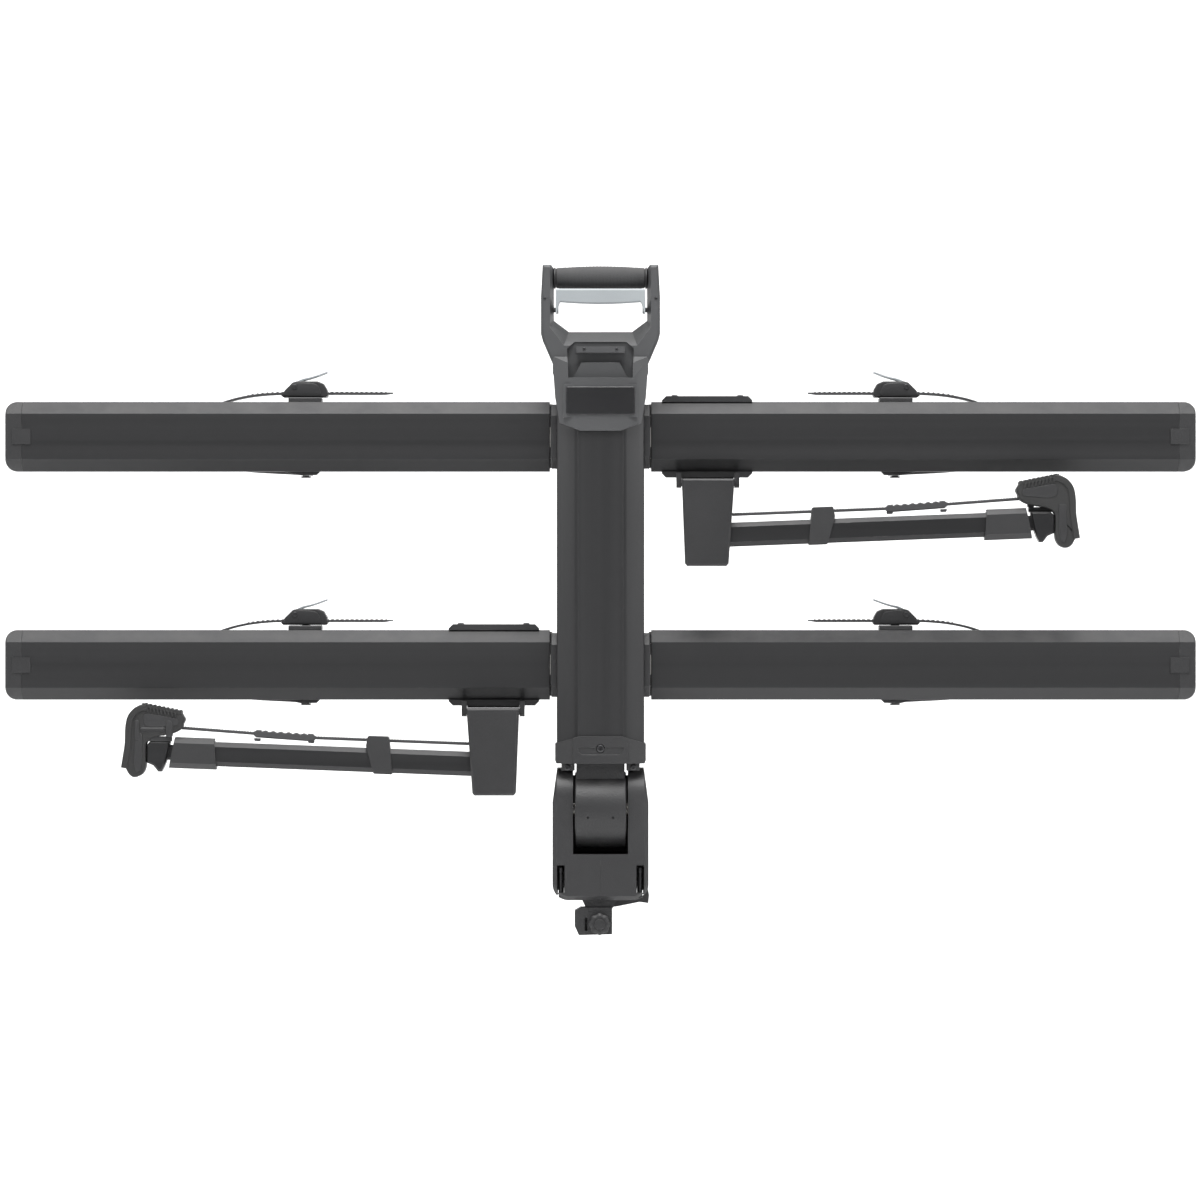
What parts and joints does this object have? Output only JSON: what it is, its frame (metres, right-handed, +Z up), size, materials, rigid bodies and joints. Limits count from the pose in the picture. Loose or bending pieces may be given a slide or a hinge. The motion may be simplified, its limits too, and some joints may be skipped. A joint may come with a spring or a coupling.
{
  "type": "hitch mounted bike rack",
  "caption": "Folding platform rack for bicycles with wheel trays, frame arms and wheel straps, tilting on a square hitch shank.",
  "frame": {"origin": "centre of the hitch pin hole in the shank", "axes": "+Z up, +Y along the shank into the receiver, +X along the wheel trays"},
  "size_m": [1.433, 0.395, 0.8045],
  "materials": {
    "shank_steel": "black powder coat",
    "bracket_steel": "black powder coat",
    "pin_steel": "zinc plated",
    "bolt_steel": "black oxide",
    "cover_plastic": "moulded, fine texture",
    "knob_plastic": "moulded",
    "spine_aluminium": "black anodised, satin",
    "tray_aluminium": "black anodised, satin",
    "cast_metal": "black powder coat",
    "handle_plastic": "dark grey, moulded",
    "grip_rubber": "soft touch",
    "badge_plastic": "plain",
    "lever_metal": "light grey",
    "cap_plastic": "moulded",
    "strap_plastic": "flexible, ribbed",
    "buckle_plastic": "moulded",
    "jaw_rubber": "moulded over a metal core",
    "arm_aluminium": "black anodised"
  },
  "bodies": {
    "hitch_base": {"receiver_shank": "shank_steel", "pivot_bracket": "bracket_steel", "housing_left": "cover_plastic", "housing_right": "cover_plastic", "pivot_pin": "pin_steel", "housing_bolts": "bolt_steel", "knob_bracket": "cast_metal"},
    "screw": {"tightening_knob": "knob_plastic"},
    "foot": {"clamp_foot": "bracket_steel"},
    "rack": {"spine_beam": "spine_aluminium", "hinge_drum": "cast_metal", "lower_collar": "cover_plastic", "handle_frame": "handle_plastic", "handle_grip": "grip_rubber", "badge_plate": "badge_plastic", "upper_cradle": "cast_metal", "lower_cradle": "cast_metal", "fold_pins": "pin_steel"},
    "trigger": {"release_lever": "lever_metal"},
    "latch": {"release_rod": "pin_steel"},
    "lower_left_wheel_tray": {"lower_left_tray": "tray_aluminium", "lower_left_end_cap": "cap_plastic", "lower_left_strap_mount": "cast_metal", "lower_arm_saddle": "cast_metal"},
    "lower_left_strap": {"lower_left_wheel_strap": "strap_plastic", "lower_left_strap_buckle": "buckle_plastic"},
    "lower_left_lever": {"lower_left_ratchet_lever": "lever_metal"},
    "lower_right_wheel_tray": {"lower_right_tray": "tray_aluminium", "lower_right_end_cap": "cap_plastic", "lower_right_strap_mount": "cast_metal"},
    "lower_right_strap": {"lower_right_wheel_strap": "strap_plastic", "lower_right_strap_buckle": "buckle_plastic"},
    "lower_right_lever": {"lower_right_ratchet_lever": "lever_metal"},
    "upper_left_wheel_tray": {"upper_left_tray": "tray_aluminium", "upper_left_end_cap": "cap_plastic", "upper_left_strap_mount": "cast_metal"},
    "upper_left_strap": {"upper_left_wheel_strap": "strap_plastic", "upper_left_strap_buckle": "buckle_plastic"},
    "upper_left_lever": {"upper_left_ratchet_lever": "lever_metal"},
    "upper_right_wheel_tray": {"upper_right_tray": "tray_aluminium", "upper_right_end_cap": "cap_plastic", "upper_right_strap_mount": "cast_metal", "upper_arm_saddle": "cast_metal"},
    "upper_right_strap": {"upper_right_wheel_strap": "strap_plastic", "upper_right_strap_buckle": "buckle_plastic"},
    "upper_right_lever": {"upper_right_ratchet_lever": "lever_metal"},
    "upper_arm_base": {"upper_arm_clevis": "cast_metal"},
    "upper_arm": {"upper_arm_tube": "arm_aluminium", "upper_arm_collar": "cover_plastic"},
    "upper_arm_slide": {"upper_arm_extension": "arm_aluminium", "upper_clamp_jaw": "jaw_rubber", "upper_clamp_strap": "strap_plastic"},
    "upper_roller": {"upper_clamp_knob": "knob_plastic"},
    "lower_arm_base": {"lower_arm_clevis": "cast_metal"},
    "lower_arm": {"lower_arm_tube": "arm_aluminium", "lower_arm_collar": "cover_plastic"},
    "lower_arm_slide": {"lower_arm_extension": "arm_aluminium", "lower_clamp_jaw": "jaw_rubber", "lower_clamp_strap": "strap_plastic"},
    "lower_roller": {"lower_clamp_knob": "knob_plastic"}
  },
  "joints": [
    {"name": "rack_tilt", "type": "hinge", "parent": "hitch_base", "child": "rack", "pos_m": [0, -0.27, 0.0666], "axis": [-1, 0, 0], "range_deg": [-105, 0]},
    {"name": "release_trigger", "type": "hinge", "parent": "rack", "child": "trigger", "pos_m": [0, -0.282, 0.668], "axis": [-1, 0, 0], "range_deg": [0, 12], "stiffness_Nm_per_rad": 2, "springref_deg": -11.46},
    {"name": "latch_slide", "type": "slide", "parent": "rack", "child": "latch", "axis": [0, 0, 1], "range_m": [0, 0.0066]},
    {"name": "screw_turn", "type": "hinge", "parent": "hitch_base", "child": "screw", "pos_m": [-0.001, -0.27, -0.0695], "axis": [0, -1, 0], "range_deg": [0, 1090]},
    {"name": "foot_slide", "type": "slide", "parent": "hitch_base", "child": "foot", "axis": [0, 1, 0], "range_m": [0, 0.006]},
    {"name": "lower_left_tray_fold", "type": "hinge", "parent": "rack", "child": "lower_left_wheel_tray", "pos_m": [-0.064, -0.236, 0.241], "axis": [0, 0, -1], "range_deg": [0, 90]},
    {"name": "lower_left_strap_swing", "type": "hinge", "parent": "lower_left_wheel_tray", "child": "lower_left_strap", "pos_m": [-0.3564, -0.23, 0.241], "axis": [0, 0, 1], "range_deg": [-90, 0]},
    {"name": "lower_left_buckle_lever", "type": "hinge", "parent": "lower_left_strap", "child": "lower_left_lever", "pos_m": [-0.3694, -0.23, 0.303], "axis": [0, 1, 0], "range_deg": [-50, 0]},
    {"name": "lower_right_tray_fold", "type": "hinge", "parent": "rack", "child": "lower_right_wheel_tray", "pos_m": [0.064, -0.236, 0.241], "axis": [0, 0, 1], "range_deg": [0, 90]},
    {"name": "lower_right_strap_swing", "type": "hinge", "parent": "lower_right_wheel_tray", "child": "lower_right_strap", "pos_m": [0.3564, -0.23, 0.241], "axis": [0, 0, -1], "range_deg": [-90, 0]},
    {"name": "lower_right_buckle_lever", "type": "hinge", "parent": "lower_right_strap", "child": "lower_right_lever", "pos_m": [0.3694, -0.23, 0.303], "axis": [0, -1, 0], "range_deg": [-50, 0]},
    {"name": "upper_left_tray_fold", "type": "hinge", "parent": "rack", "child": "upper_left_wheel_tray", "pos_m": [-0.064, -0.236, 0.516], "axis": [0, 0, -1], "range_deg": [0, 90]},
    {"name": "upper_left_strap_swing", "type": "hinge", "parent": "upper_left_wheel_tray", "child": "upper_left_strap", "pos_m": [-0.3564, -0.23, 0.516], "axis": [0, 0, 1], "range_deg": [-90, 0]},
    {"name": "upper_left_buckle_lever", "type": "hinge", "parent": "upper_left_strap", "child": "upper_left_lever", "pos_m": [-0.3694, -0.23, 0.578], "axis": [0, 1, 0], "range_deg": [-50, 0]},
    {"name": "upper_right_tray_fold", "type": "hinge", "parent": "rack", "child": "upper_right_wheel_tray", "pos_m": [0.064, -0.236, 0.516], "axis": [0, 0, 1], "range_deg": [0, 90]},
    {"name": "upper_right_strap_swing", "type": "hinge", "parent": "upper_right_wheel_tray", "child": "upper_right_strap", "pos_m": [0.3564, -0.23, 0.516], "axis": [0, 0, -1], "range_deg": [-90, 0]},
    {"name": "upper_right_buckle_lever", "type": "hinge", "parent": "upper_right_strap", "child": "upper_right_lever", "pos_m": [0.3694, -0.23, 0.578], "axis": [0, -1, 0], "range_deg": [-50, 0]},
    {"name": "upper_arm_tilt", "type": "hinge", "parent": "upper_right_wheel_tray", "child": "upper_arm_base", "pos_m": [0.129, -0.28, 0.46], "axis": [-1, 0, 0], "range_deg": [-90, 0]},
    {"name": "upper_arm_fold", "type": "hinge", "parent": "upper_arm_base", "child": "upper_arm", "pos_m": [0.128, -0.298, 0.3965], "axis": [0, -1, 0], "range_deg": [-92, 0]},
    {"name": "upper_arm_extend", "type": "slide", "parent": "upper_arm", "child": "upper_arm_slide", "axis": [-0.9993, 0, -0.0384], "range_m": [-0.2, 0]},
    {"name": "upper_knob_turn", "type": "hinge", "parent": "upper_arm_slide", "child": "upper_roller", "pos_m": [0.534, -0.2895, 0.44], "axis": [1, 0, 0], "continuous": true},
    {"name": "lower_arm_tilt", "type": "hinge", "parent": "lower_left_wheel_tray", "child": "lower_arm_base", "pos_m": [-0.129, -0.28, 0.185], "axis": [-1, 0, 0], "range_deg": [-90, 0]},
    {"name": "lower_arm_fold", "type": "hinge", "parent": "lower_arm_base", "child": "lower_arm", "pos_m": [-0.128, -0.298, 0.1215], "axis": [0, 1, 0], "range_deg": [-92, 0]},
    {"name": "lower_arm_extend", "type": "slide", "parent": "lower_arm", "child": "lower_arm_slide", "axis": [0.9993, 0, -0.0384], "range_m": [-0.2, 0]},
    {"name": "lower_knob_turn", "type": "hinge", "parent": "lower_arm_slide", "child": "lower_roller", "pos_m": [-0.534, -0.3065, 0.165], "axis": [-1, 0, 0], "continuous": true}
  ],
  "couplings": [
    {"joint": "latch_slide", "follows": "release_trigger", "m_per_rad": 0.0315},
    {"joint": "screw_turn", "follows": "foot_slide", "rad_per_m": 3141.6}
  ]
}
